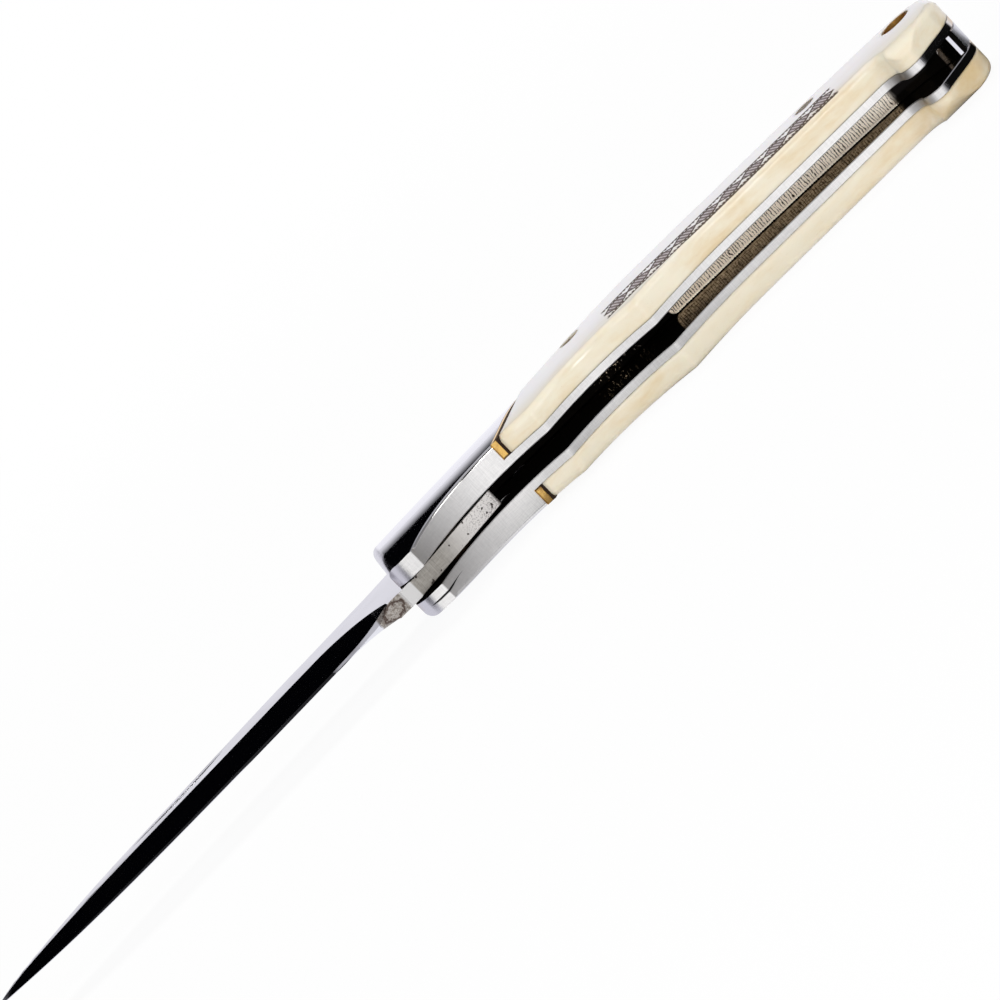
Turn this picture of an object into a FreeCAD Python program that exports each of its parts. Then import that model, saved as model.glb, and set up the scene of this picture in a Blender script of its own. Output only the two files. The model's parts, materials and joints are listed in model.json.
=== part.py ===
import FreeCAD, Part
import math
import os
import re
import Sketcher

# A lockback folding knife, open, lying on its right side.
# Every piece is drawn about the blade pivot: x runs to the butt, y to the back, z up out of the mark side.
# The finished pieces are then moved together, so that the frame's origin lies on the face it rests on.

# Driving dimensions in millimetres and degrees
SIZES = {
    # Outline of the handle, seen on its mark side
    "pivot_setback": 8.5,
    "back_crest_x": 54.0,
    "back_crest_y": 16.0,
    "back_radius": 275.0,
    "butt_top_x": 98.5,
    "butt_end_x": 105.5,
    "butt_end_y": 4.0,
    "butt_corner_x": 102.9,
    "butt_corner_y": -2.2,
    "beak_x": 97.0,
    "beak_y": -6.4,
    "well_belly_y": -0.7,
    "well_rear_x": 91.0,
    "well_front_x": 60.0,
    "rear_crest_x": 44.0,
    "rear_crest_y": -3.8,
    "rear_groove_radius": 26.0,
    "front_crest_x": 22.4,
    "front_crest_y": -4.2,
    "front_groove_radius": 24.0,
    "guard_rear_x": -3.7,
    "guard_y": -10.3,
    "guard_rounding": 2.7,
    "guard_rise": 1.8,
    "crest_rounding": 1.6,
    "butt_break": 0.7,
    "edge_break": 0.12,
    # Stack through the handle, from the middle of the slot outwards
    "slot_width": 3.65,
    "liner_thickness": 1.3,
    "half_thickness": 6.9,
    "face_taper": 1.6,
    "taper_end_x": 45.0,
    # Bolsters, and the strips between them and the scales
    "joint_low_x": 13.1,
    "joint_low_y": -5.5,
    "joint_high_x": 25.8,
    "joint_high_y": 18.0,
    "joint_radius": 200.0,
    "brass_strip": 1.2,
    "fibre_strip": 0.45,
    "flat_low_y": -3.0,
    "flat_high_y": 3.0,
    "bolster_crown_radius": 48.0,
    "bolster_flat_low_y": -2.0,
    "bolster_belly_radius": 45.0,
    "bolster_rounding": 1.6,
    "bolster_pin_radius": 1.1,
    "bolster_pin_depth": 1.5,
    "bolster_pin_low_x": 11.0,
    "bolster_pin_low_y": 1.5,
    "bolster_pin_high_x": 15.5,
    "bolster_pin_high_y": 9.0,
    # Scales
    "scale_crown_radius": 160.0,
    "scale_rounding": 1.0,
    "shoulder_slope": 4.0,
    "seam_break": 0.12,
    "beak_fairing_y": -0.9,
    "beak_fairing_radius": 7.0,
    "end_fairing_radius": 2.4,
    "release_x": 64.0,
    "release_depth": 1.5,
    "release_radius": 14.0,
    # Blade, drawn along its own axis and turned down by the droop
    "droop": 8.0,
    "blade_reach": 91.75,
    "blade_thickness": 2.9,
    "spine_height": 6.85,
    "edge_depth": 8.6,
    "grind_level": 0.85,
    "grind_wheel_radius": 40.0,
    "bevel_height": 0.8,
    "bevel_half": 0.24,
    "edge_half": 0.03,
    "ricasso_front": 12.6,
    "ricasso_depth": 8.0,
    "ricasso_rear": 7.9,
    "plunge_run": 12.4,
    "plunge_radius": 14.2,
    "choil_x": -12.3,
    "choil_radius": 8.0,
    "choil_depth": 0.3,
    "nick_front": 62.0,
    "nick_front_level": 3.5,
    "nick_rear": 43.0,
    "nick_rear_level": 4.6,
    "nick_radius": 36.0,
    "nick_depth": 0.5,
    # Tang and its lock notch
    "tang_radius": 10.5,
    "kick_level": -2.2,
    "kick_corner": 0.75,
    "stop_wall": 7.25,
    "stop_top": 9.5,
    "notch_bottom": 7.1,
    "notch_rear": 8.6,
    "stop_gap": 0.06,
    "catch_clearance": 0.25,
    # Lock bar
    "lock_pin_x": 34.0,
    "lock_pin_y": 11.8,
    "lock_belly": 9.25,
    "nose_length": 3.3,
    "lock_boss": 3.0,
    "lock_heel_x": 45.5,
    "lock_foot_x": 50.0,
    "lock_arm_x": 54.0,
    "lock_arm_y": 12.4,
    "lock_rear_x": 69.9,
    "lock_rear_y": 12.75,
    "lock_side_gap": 0.1,
    # Back block with its leaf spring
    "block_gap": 0.5,
    "leaf_tip_x": 47.0,
    "leaf_tip_y": 9.4,
    "leaf_tip_thickness": 1.2,
    "leaf_root_x": 90.8,
    "leaf_root_y": 5.3,
    "leaf_radius": 242.0,
    "leaf_heel_y": 9.8,
    "leaf_tip_rounding": 1.2,
    "flare_radius": 16.0,
    "leaf_contact_gap": 0.06,
    "block_side_gap": 0.03,
    # Pins, washers and lanyard tube
    "pivot_pin_radius": 1.9,
    "pivot_pin_depth": 1.9,
    "handle_pin_radius": 1.8,
    "spring_pin_x": 82.0,
    "spring_pin_y": 10.8,
    "pin_recess": 0.05,
    "pin_fit": 0.02,
    "running_fit": 0.05,
    "washer_radius": 4.6,
    "washer_gap": 0.02,
    "tube_x": 99.6,
    "tube_y": 7.4,
    "tube_radius": 2.6,
    "tube_bore": 2.2,
    # Point of the right scale's flat face that is the origin
    "rest_x": 66.0,
    "rest_y": 1.5,
    # How far a cut runs past what it cuts
    "overrun": 4.0,
}

# Blade sections through the plunge, where the wheel ran out of the steel
# Each row holds the share of the plunge's run, and how much of the ricasso's thickness
# is left over the edge bevel and on the edge itself
PLUNGE_SHARES = (
    (0.00, 1.00, 1.00),
    (0.15, 0.66, 0.28),
    (0.35, 0.30, 0.05),
    (0.60, 0.07, 0.00),
)
# Blade sections from the end of the plunge to the tip
# Each row holds shares of the reach behind the plunge, spine height, grind level, edge depth and thickness
STATION_SHARES = (
    (0.000, 0.943, 1.05, 0.994, 1.00),
    (0.195, 0.875, 0.95, 1.000, 0.98),
    (0.494, 0.690, 1.00, 0.935, 0.93),
    (0.704, 0.515, 1.15, 0.770, 0.83),
    (0.854, 0.300, 1.00, 0.500, 0.62),
    (0.946, 0.115, 0.30, 0.240, 0.38),
    (1.000, -0.040, -0.45, 0.060, 0.06),
)

doc = FreeCAD.newDocument("folding_knife")
sheet = doc.addObject("Spreadsheet::Sheet", "Sizes")
for row, (alias, number) in enumerate(SIZES.items(), start=1):
    sheet.set("A%d" % row, alias)
    sheet.set("B%d" % row, str(number))
    sheet.setAlias("B%d" % row, alias)
doc.recompute()

LEFT_OF_TRAVEL = 1
RIGHT_OF_TRAVEL = -1
FLAT_LIMIT = 0.9
TOUCH = 1e-4


def cell(text):
    """Give a sum of sizes as an expression on the sheet."""
    def point(word):
        return "Sizes." + word.group() if word.group() in SIZES else word.group()
    return re.sub(r"[a-z]\w*", point, str(text))


def value(text):
    """Work a sum of sizes out now, for the first guess at a sketch."""
    result = sheet.evalExpression(cell(text))
    return float(getattr(result, "Value", result))


def bind(target, prop, text):
    target.setExpression(prop, cell(text))


def turned(u, v):
    """Turn a place on the open blade into a place on the handle."""
    x = "(%s) * cos(droop) - (%s) * sin(droop)" % (u, v)
    y = "(%s) * sin(droop) + (%s) * cos(droop)" % (u, v)
    return x, y


def back_level(x):
    """Height of the back's arc at one place along the handle."""
    return "back_crest_y - back_radius + sqrt(back_radius ^ 2 - ((%s) - back_crest_x) ^ 2)" % x


def face_level(x, slope, end_x):
    """Distance of a sloping outer face from the middle of the knife."""
    return "half_thickness - tan(%s) * (%s - (%s))" % (slope, end_x, x)


def new_body(name):
    body = doc.addObject("PartDesign::Body", name)
    body.Label = name
    return body


def new_sketch(body, name, role="XY_Plane", lift="0"):
    """Put a sketch on one of the body's own origin planes, lifted along its normal."""
    sketch = body.newObject("Sketcher::SketchObject", body.Name + "_" + name)
    plane = next(feature for feature in body.Origin.OriginFeatures if feature.Role == role)
    sketch.AttachmentSupport = (plane, [""])
    sketch.MapMode = "FlatFace"
    bind(sketch, "AttachmentOffset.Base.z", lift)
    return sketch


def arc_between(start, end, centre, side):
    """Part of a circle from start to end, which a sketch holds anticlockwise."""
    first, last = (start, end) if side == LEFT_OF_TRAVEL else (end, start)
    radius = (start - centre).Length
    angles = [math.atan2(point.y - centre.y, point.x - centre.x) for point in (first, last)]
    if angles[1] < angles[0]:
        angles[1] += 2 * math.pi
    circle = Part.Circle(centre, FreeCAD.Vector(0, 0, 1), radius)
    return Part.ArcOfCircle(circle, angles[0], angles[1])


def tie(sketch, index, position, x, y):
    """Hold a point of a sketch at a place that the sheet gives."""
    for kind, text in (("DistanceX", x), ("DistanceY", y)):
        number = sketch.addConstraint(Sketcher.Constraint(kind, -1, 1, index, position, value(text)))
        bind(sketch, "Constraints[%d]" % number, text)


def outline(sketch, corners, sides):
    """Draw a closed outline: side i runs from corner i to the next one.

    A side is "line", "tangent" for an arc that leaves in the last side's direction,
    or a pair of the arc's radius and the side of travel that its centre lies on.
    """
    points = [FreeCAD.Vector(value(x), value(y), 0) for x, y in corners]
    ends = []
    heading = None
    for number, side in enumerate(sides):
        start = points[number]
        end = points[(number + 1) % len(points)]
        chord = end - start
        normal = FreeCAD.Vector(-chord.y, chord.x, 0) / chord.Length
        hand = LEFT_OF_TRAVEL
        if side == "line":
            piece = Part.LineSegment(start, end)
            heading_end = chord / chord.Length
        else:
            if side == "tangent":
                across = FreeCAD.Vector(-heading.y, heading.x, 0)
                reach = chord.dot(chord) / (2 * across.dot(chord))
                centre = start + across * reach
                hand = LEFT_OF_TRAVEL if reach > 0 else RIGHT_OF_TRAVEL
            else:
                hand = side[1]
                rise = math.sqrt(value(side[0]) ** 2 - (chord.Length / 2) ** 2)
                centre = (start + end) / 2 + normal * (hand * rise)
            piece = arc_between(start, end, centre, hand)
            spoke = (end - centre) / (end - centre).Length
            heading_end = FreeCAD.Vector(-spoke.y, spoke.x, 0) * hand
        index = sketch.addGeometry(piece, False)
        first, last = (1, 2) if hand == LEFT_OF_TRAVEL else (2, 1)
        if number:
            kind = "Tangent" if side == "tangent" else "Coincident"
            sketch.addConstraint(Sketcher.Constraint(kind, ends[-1][0], ends[-1][2], index, first))
        if side not in ("line", "tangent"):
            radius = sketch.addConstraint(Sketcher.Constraint("Radius", index, value(side[0])))
            bind(sketch, "Constraints[%d]" % radius, side[0])
        ends.append((index, first, last))
        heading = heading_end
    closing = Sketcher.Constraint("Coincident", ends[-1][0], ends[-1][2], ends[0][0], ends[0][1])
    sketch.addConstraint(closing)
    for (index, first, last), (x, y) in zip(ends, corners):
        tie(sketch, index, first, x, y)


def circle(sketch, x, y, radius):
    middle = FreeCAD.Vector(value(x), value(y), 0)
    index = sketch.addGeometry(Part.Circle(middle, FreeCAD.Vector(0, 0, 1), value(radius)), False)
    number = sketch.addConstraint(Sketcher.Constraint("Radius", index, value(radius)))
    bind(sketch, "Constraints[%d]" % number, radius)
    tie(sketch, index, 3, x, y)


def pad(body, sketch, length, symmetric=False):
    feature = body.newObject("PartDesign::Pad", sketch.Name + "_pad")
    feature.Profile = sketch
    feature.SideType = "Symmetric" if symmetric else "One side"
    bind(feature, "Length", length)
    doc.recompute()
    return feature


def cut(body, sketch, depth=None, reverse=False):
    """Pocket a sketch right through both ways, or to a depth, and see that it removed something."""
    before = body.Shape.Volume
    feature = body.newObject("PartDesign::Pocket", sketch.Name + "_cut")
    feature.Profile = sketch
    if depth is None:
        feature.SideType = "Symmetric"
        feature.Type = "ThroughAll"
    else:
        feature.SideType = "One side"
        feature.Reversed = reverse
        bind(feature, "Length", depth)
    doc.recompute()
    if not body.Shape.Volume < before - TOUCH:
        raise RuntimeError(feature.Name + " removes nothing")
    return feature


def eased(kind, size_name, body, name, size, wanted):
    """Fillet or chamfer the edges of the body's last feature that the test picks."""
    base = body.Tip
    edges = base.Shape.Edges
    names = ["Edge%d" % number for number, edge in enumerate(edges, start=1) if wanted(base.Shape, edge)]
    if not names:
        raise RuntimeError(body.Name + " has no edge for " + name)
    feature = body.newObject(kind, body.Name + "_" + name)
    feature.Base = (base, names)
    bind(feature, size_name, size)
    doc.recompute()
    if "Invalid" in feature.State or feature.Shape.isNull():
        raise RuntimeError(feature.Name + " did not compute")
    return feature


def rounded(body, name, radius, wanted):
    return eased("PartDesign::Fillet", "Radius", body, name, radius, wanted)


def broken(body, name, size, wanted):
    return eased("PartDesign::Chamfer", "Size", body, name, size, wanted)


def middle_of(edge):
    return edge.valueAt((edge.FirstParameter + edge.LastParameter) / 2)


def normals_beside(shape, edge):
    """Outward normals, at the middle of an edge, of the two faces that meet there."""
    place = middle_of(edge)
    normals = []
    for face in shape.ancestorsOfType(edge, Part.Face):
        u, v = face.Surface.parameter(place)
        normals.append(face.normalAt(u, v))
    return normals


def upright(shape, edge):
    """Test for edges that run straight through the handle's thickness."""
    ends = [vertex.Point for vertex in edge.Vertexes]
    return len(ends) == 2 and (ends[0] - ends[1]).cross(FreeCAD.Vector(0, 0, 1)).Length < TOUCH


def upright_at(*places):
    """Test for upright edges at given corners of the outline."""
    wanted = [FreeCAD.Vector(value(x), value(y), 0) for x, y in places]

    def test(shape, edge):
        foot = FreeCAD.Vector(middle_of(edge).x, middle_of(edge).y, 0)
        return upright(shape, edge) and any((foot - place).Length < TOUCH for place in wanted)
    return test


def rim_towards(*ways):
    """Test for edges between upright walls and a level face that looks up (1) or down (-1).

    The nose in front of the guard keeps its sharp edges.
    """
    front = value("guard_rear_x")

    def test(shape, edge):
        levels = [normal.z for normal in normals_beside(shape, edge)]
        wall = min(levels, key=abs)
        level = max(levels, key=abs)
        facing = any(level * way > FLAT_LIMIT for way in ways)
        return abs(wall) < TOUCH and facing and middle_of(edge).x > front
    return test


FRONT_X = "-pivot_setback"
BEAK = ("beak_x", "beak_y")
REAR_CREST = ("rear_crest_x", "rear_crest_y")
FRONT_CREST = ("front_crest_x", "front_crest_y")
BUTT_CORNER = ("butt_corner_x", "butt_corner_y")
BUTT_END = ("butt_end_x", "butt_end_y")
BUTT_TOP = ("butt_top_x", back_level("butt_top_x"))
STEP_RADIUS = "((beak_x - well_rear_x) ^ 2 + (well_belly_y - beak_y) ^ 2) / (4 * (well_belly_y - beak_y))"


def handle_outline(sketch):
    """Side view of the handle: arched back, beaked butt, three finger grooves and a guard."""
    corners = [
        (FRONT_X, back_level(FRONT_X)),
        BUTT_TOP,
        BUTT_END,
        BUTT_CORNER,
        BEAK,
        ("(beak_x + well_rear_x) / 2", "(beak_y + well_belly_y) / 2"),
        ("well_rear_x", "well_belly_y"),
        ("well_front_x", "well_belly_y"),
        REAR_CREST,
        FRONT_CREST,
        ("guard_rear_x", "guard_y"),
        (FRONT_X + " + guard_rounding", "guard_y"),
        (FRONT_X, "guard_y + guard_rise"),
    ]
    sides = [
        ("back_radius", RIGHT_OF_TRAVEL),
        "tangent",
        "tangent",
        "line",
        (STEP_RADIUS, RIGHT_OF_TRAVEL),
        "tangent",
        "line",
        "tangent",
        ("rear_groove_radius", LEFT_OF_TRAVEL),
        ("front_groove_radius", LEFT_OF_TRAVEL),
        "line",
        "tangent",
        "line",
    ]
    outline(sketch, corners, sides)


def side_blank(name, lift, height):
    """Slab of the handle's outline on the mark side, with its crests rounded."""
    body = new_body(name)
    sketch = new_sketch(body, "outline", lift=lift)
    handle_outline(sketch)
    pad(body, sketch, height)
    rounded(body, "crests", "crest_rounding", upright_at(REAR_CREST, FRONT_CREST, BEAK))
    return body


LINER_OUTSIDE = "slot_width / 2 + liner_thickness"
COVER_HEIGHT = "half_thickness - slot_width / 2 - liner_thickness"


def trim_at_joint(body, name, shift, keep_front):
    """Cut a slab along the swept joint line between bolster and scale."""
    sketch = new_sketch(body, name)
    far_x = "-pivot_setback - overrun" if not keep_front else "butt_end_x + overrun"
    corners = [
        ("joint_low_x + " + shift, "joint_low_y"),
        ("joint_high_x + " + shift, "joint_high_y"),
        (far_x, "joint_high_y"),
        (far_x, "guard_y - overrun"),
        ("joint_low_x + " + shift, "guard_y - overrun"),
    ]
    outline(sketch, corners, [("joint_radius", LEFT_OF_TRAVEL), "line", "line", "line", "line"])
    cut(body, sketch)


def crown_drop(y, radius):
    """How far the crowned outer face falls away at one height above its flat middle."""
    return "%s - sqrt(%s ^ 2 - (%s - flat_high_y) ^ 2)" % (radius, radius, y)


def crown_face(body, name, slope, end_x, belly, back):
    """Cut the outer face: flat in the middle, rounded off to belly and back, sloping to the front.

    The slope reaches the handle's full thickness at end_x.
    Belly and back each hold where the flat ends and the radius that starts there.
    """
    belly_y, belly_radius = belly
    back_y, back_radius = back
    sketch = new_sketch(body, name, role="YZ_Plane", lift=end_x)
    lean = FreeCAD.Rotation(FreeCAD.Vector(1, 0, 0), value("-(%s)" % slope))
    sketch.AttachmentOffset = FreeCAD.Placement(FreeCAD.Vector(), lean)
    bind(sketch, "AttachmentOffset.Base.y", "half_thickness")
    bind(sketch, "AttachmentOffset.Rotation.Angle", "-(%s)" % slope)
    low_y = "guard_y - overrun"
    high_y = "back_crest_y + overrun"
    fall = "sqrt(%s ^ 2 - (%s) ^ 2) - %s"
    corners = [
        (low_y, fall % (belly_radius, "%s - (%s)" % (belly_y, low_y), belly_radius)),
        (belly_y, "0"),
        (back_y, "0"),
        (high_y, fall % (back_radius, "%s - %s" % (high_y, back_y), back_radius)),
        (high_y, "overrun"),
        (low_y, "overrun"),
    ]
    to_belly = (belly_radius, RIGHT_OF_TRAVEL)
    to_back = (back_radius, RIGHT_OF_TRAVEL)
    outline(sketch, corners, [to_belly, "line", to_back, "line", "line", "line"])
    cut(body, sketch)


# Slopes of the outer face, each with the place where it reaches the full thickness
# The shoulder leaves the tapered face at the foot of the joint line
TAPER = ("face_taper", "taper_end_x")
LEVEL = ("0", "taper_end_x")
SCALE_FOOT_X = "joint_low_x + brass_strip + fibre_strip"
SHOULDER_RUN = "(taper_end_x - (%s)) * tan(face_taper) / tan(shoulder_slope)" % SCALE_FOOT_X
SHOULDER = ("shoulder_slope", "(%s + %s)" % (SCALE_FOOT_X, SHOULDER_RUN))
SCALE_CROWN = (("flat_low_y", "scale_crown_radius"), ("flat_high_y", "scale_crown_radius"))
SHOULDER_CROWN = (("flat_low_y", "scale_crown_radius"), ("flat_high_y", "bolster_crown_radius"))
BOLSTER_CROWN = (("bolster_flat_low_y", "bolster_belly_radius"), ("flat_high_y", "bolster_crown_radius"))


def fair_butt(body):
    """Round the outer edges of a scale's beak and of its end off broadly."""
    beak = new_sketch(body, "beak_fairing", role="YZ_Plane", lift="butt_end_x + overrun")
    bind(beak, "AttachmentOffset.Base.y", "half_thickness + edge_break")
    corners = [
        ("beak_fairing_y - beak_fairing_radius", "-beak_fairing_radius"),
        ("beak_fairing_y", "0"),
        ("beak_fairing_y", "overrun"),
        ("beak_y - overrun", "overrun"),
        ("beak_y - overrun", "-beak_fairing_radius"),
    ]
    rounding = ("beak_fairing_radius", RIGHT_OF_TRAVEL)
    outline(beak, corners, [rounding, "line", "line", "line", "line"])
    cut(body, beak, "butt_end_x + overrun - (well_front_x + well_rear_x) / 2")

    end = new_sketch(body, "end_fairing", role="XZ_Plane")
    bind(end, "AttachmentOffset.Base.x", "butt_end_x + edge_break - end_fairing_radius")
    bind(end, "AttachmentOffset.Base.y", "half_thickness + edge_break - end_fairing_radius")
    corners = [
        ("0", "end_fairing_radius"),
        ("end_fairing_radius", "0"),
        ("end_fairing_radius + overrun", "0"),
        ("end_fairing_radius + overrun", "end_fairing_radius + overrun"),
        ("0", "end_fairing_radius + overrun"),
    ]
    rounding = ("end_fairing_radius", RIGHT_OF_TRAVEL)
    outline(end, corners, [rounding, "line", "line", "line", "line"])
    cut(body, end)


def bore(body, name, holes):
    """Drill round holes right through a body."""
    sketch = new_sketch(body, name)
    for x, y, radius in holes:
        circle(sketch, x, y, radius)
    cut(body, sketch)


def blind_bore(body, name, holes, depth):
    """Drill round holes into a bolster from its inner face."""
    sketch = new_sketch(body, name, lift=LINER_OUTSIDE)
    for x, y, radius in holes:
        circle(sketch, x, y, radius)
    cut(body, sketch, depth, reverse=True)


PIVOT_HOLE = ("0", "0", "pivot_pin_radius + pin_fit")
THROUGH_HOLES = [
    ("lock_pin_x", "lock_pin_y", "handle_pin_radius + pin_fit"),
    ("spring_pin_x", "spring_pin_y", "handle_pin_radius + pin_fit"),
    ("tube_x", "tube_y", "tube_radius + pin_fit"),
]
BOLSTER_PIN_PLACES = [
    ("bolster_pin_low_x", "bolster_pin_low_y"),
    ("bolster_pin_high_x", "bolster_pin_high_y"),
]
BOLSTER_PIN_HOLES = [(x, y, "bolster_pin_radius + pin_fit") for x, y in BOLSTER_PIN_PLACES]


def release_scoop(body):
    """Scoop for the thumb in the back, above the rear end of the lock bar."""
    sketch = new_sketch(body, "scoop")
    level = back_level("release_x") + " - release_depth + release_radius"
    circle(sketch, "release_x", level, "release_radius")
    cut(body, sketch)


def make_liner():
    body = side_blank("liner_left", "slot_width / 2", "liner_thickness")
    broken(body, "butt", "butt_break", upright_at(BUTT_CORNER))
    broken(body, "slot_rim", "edge_break", rim_towards(-1))
    bore(body, "holes", [PIVOT_HOLE] + THROUGH_HOLES + BOLSTER_PIN_HOLES)
    release_scoop(body)
    return body


def make_bolster():
    body = side_blank("bolster_left", LINER_OUTSIDE, COVER_HEIGHT)
    trim_at_joint(body, "joint", "0", keep_front=True)
    crown_face(body, "crown", *TAPER, *BOLSTER_CROWN)

    def back_or_front(shape, edge):
        normals = normals_beside(shape, edge)
        if max(normal.z for normal in normals) < FLAT_LIMIT:
            return False
        wall = min(normals, key=lambda normal: normal.z)
        return abs(wall.z) < TOUCH and (wall.y > FLAT_LIMIT or wall.x < -FLAT_LIMIT)
    rounded(body, "edges", "bolster_rounding", back_or_front)
    broken(body, "belly_rim", "edge_break", rim_towards(1))
    blind_bore(body, "pivot_hole", [PIVOT_HOLE], "pivot_pin_depth")
    blind_bore(body, "pin_holes", BOLSTER_PIN_HOLES, "bolster_pin_depth")
    return body


def make_strip(name, shift, thickness):
    """Thin strip that follows the joint line between bolster and scale."""
    body = side_blank(name, LINER_OUTSIDE, COVER_HEIGHT)
    trim_at_joint(body, "front", shift, keep_front=False)
    trim_at_joint(body, "rear", shift + " + " + thickness, keep_front=True)
    crown_face(body, "crown", *TAPER, *BOLSTER_CROWN)
    return body


def make_brass_strip():
    """Brass strip with its corners broken, so that a fine line shows on each side of it."""
    body = make_strip("brass_strip_left", "0", "brass_strip")
    broken(body, "corners", "seam_break", upright)
    return body


def make_scale():
    body = side_blank("scale_left", LINER_OUTSIDE, COVER_HEIGHT)
    trim_at_joint(body, "joint", "brass_strip + fibre_strip", keep_front=False)
    rounded(body, "butt", "crest_rounding", upright_at(BUTT_CORNER))
    broken(body, "seam", "seam_break", rim_towards(-1))
    crown_face(body, "taper", *TAPER, *SCALE_CROWN)
    crown_face(body, "crown", *LEVEL, *SCALE_CROWN)
    crown_face(body, "shoulder", *SHOULDER, *SHOULDER_CROWN)
    joint_end = value("joint_high_x + brass_strip + fibre_strip")

    def outer_rim(shape, edge):
        normals = normals_beside(shape, edge)
        if max(normal.z for normal in normals) < FLAT_LIMIT:
            return False
        wall = min(normals, key=lambda normal: normal.z)
        at_joint = wall.x < -FLAT_LIMIT / 2 and middle_of(edge).x < joint_end
        return abs(wall.z) < TOUCH and not at_joint
    rounded(body, "rim", "scale_rounding", outer_rim)
    fair_butt(body)
    bore(body, "holes", THROUGH_HOLES)
    release_scoop(body)
    return body


def blade_section(body, name, reach, spine, grind, edge, half, bevel, bevel_half, edge_half):
    """One cross-section of the hollow-ground blade."""
    sketch = new_sketch(body, name, role="YZ_Plane", lift="-(%s)" % reach)
    low = "-(%s)" % edge
    turn = "%s + %s" % (low, bevel)
    corners = [
        (spine, "-(%s)" % half),
        (spine, half),
        (grind, half),
        (turn, bevel_half),
        (low, edge_half),
        (low, "-(%s)" % edge_half),
        (turn, "-(%s)" % bevel_half),
        (grind, "-(%s)" % half),
    ]
    hollow = ("grind_wheel_radius", RIGHT_OF_TRAVEL)
    outline(sketch, corners, ["line", "line", hollow, "line", "line", "line", hollow, "line"])
    return sketch


def loft(body, name, sections):
    feature = body.newObject("PartDesign::AdditiveLoft", name)
    feature.Profile = sections[0]
    feature.Sections = sections[1:]
    doc.recompute()
    return feature


def make_blade():
    """Blade with its hollow grind, tang, lock notch, pivot hole and nail nick."""
    body = new_body("blade")
    plunge_end = "(ricasso_front + plunge_run)"
    stations = []
    for number, (way, spine, grind, edge, thick) in enumerate(STATION_SHARES):
        stations.append(blade_section(
            body, "section_%d" % number,
            "%s + (blade_reach - %s) * %s" % (plunge_end, plunge_end, way),
            "spine_height * %s" % spine,
            "grind_level * %s" % grind,
            "edge_depth * %s" % edge,
            "blade_thickness / 2 * %s" % thick,
            "bevel_height * %s" % thick,
            "bevel_half * %s" % thick,
            "edge_half"))
    loft(body, "blade_grind", stations)
    spine, grind, edge = STATION_SHARES[0][1:4]
    chord = "sqrt(plunge_radius ^ 2 - (plunge_run * %s) ^ 2)"
    plunge = []
    for number, (way, over_bevel, on_edge) in enumerate(PLUNGE_SHARES):
        left = 1 - way
        plunge.append(blade_section(
            body, "plunge_%d" % number,
            "ricasso_front + plunge_run * %s" % way,
            "spine_height * (%s + %s * %s)" % (left, spine, way),
            "grind_level * %s - plunge_radius + %s" % (grind, chord % left),
            "ricasso_depth * %s + edge_depth * %s * %s" % (left, edge, way),
            "blade_thickness / 2",
            "bevel_height",
            "bevel_half + (blade_thickness / 2 - edge_half - bevel_half) * %s" % over_bevel,
            "edge_half + (blade_thickness / 2 - 3 * edge_half) * %s" % on_edge))
    loft(body, "blade_plunge", plunge + stations[:1])

    tang = new_sketch(body, "tang")
    kick_x = "sqrt(tang_radius ^ 2 - kick_level ^ 2)"
    corners = [
        ("-ricasso_front", "spine_height"),
        ("stop_wall", "stop_top"),
        ("stop_wall", "notch_bottom"),
        ("notch_rear", "sqrt(tang_radius ^ 2 - notch_rear ^ 2)"),
        (kick_x, "kick_level"),
        (kick_x + " - kick_corner", "kick_level - kick_corner"),
        ("-ricasso_rear", "-ricasso_depth"),
        ("-ricasso_front", "-ricasso_depth"),
    ]
    round_end = ("tang_radius", RIGHT_OF_TRAVEL)
    outline(tang, corners, ["line", "line", "line", round_end, "tangent", "line", "line", "line"])
    pad(body, tang, "blade_thickness", symmetric=True)
    rim = rim_towards(-1, 1)
    notch_y = value("notch_bottom")

    def belly_and_rear(shape, edge):
        return rim(shape, edge) and 2 * middle_of(edge).y < notch_y
    broken(body, "tang_rim", "edge_break", belly_and_rear)
    bore(body, "pivot_hole", [("0", "0", "pivot_pin_radius + running_fit")])
    bore(body, "choil", [("choil_x", "choil_depth - ricasso_depth - choil_radius", "choil_radius")])

    nick = new_sketch(body, "nail_nick", lift="blade_thickness / 2")
    ends = [("-nick_rear", "nick_rear_level"), ("-nick_front", "nick_front_level")]
    outline(nick, ends, ["line", ("nick_radius", LEFT_OF_TRAVEL)])
    cut(body, nick, "nick_depth")
    return body


NOSE_FACE = "stop_wall + stop_gap"
NOSE_TIP = turned(NOSE_FACE, "sqrt((tang_radius + catch_clearance) ^ 2 - (%s) ^ 2)" % NOSE_FACE)
NOSE_TOP_X = turned(NOSE_FACE, "tang_radius")[0]
LEAF_CONTACT = "leaf_tip_y + leaf_tip_thickness + leaf_contact_gap"


def make_lock_bar():
    """Rocker that drops its nose behind the tang's stop wall."""
    body = new_body("lock_bar")
    sketch = new_sketch(body, "outline")
    corners = [
        NOSE_TIP,
        (NOSE_TIP[0] + " + nose_length", "lock_belly"),
        ("lock_pin_x + lock_boss", "lock_belly"),
        ("lock_heel_x", LEAF_CONTACT),
        ("lock_foot_x", LEAF_CONTACT),
        ("lock_arm_x", "lock_arm_y"),
        ("lock_rear_x", "lock_rear_y"),
        ("lock_rear_x", back_level("lock_rear_x")),
        (NOSE_TOP_X, back_level(NOSE_TOP_X)),
    ]
    back = ("back_radius", LEFT_OF_TRAVEL)
    outline(sketch, corners, ["line"] * 7 + [back, "line"])
    pad(body, sketch, "slot_width - 2 * lock_side_gap", symmetric=True)
    broken(body, "rims", "edge_break", rim_towards(-1, 1))
    bore(body, "pin_hole", [("lock_pin_x", "lock_pin_y", "handle_pin_radius + running_fit")])
    return body


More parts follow.
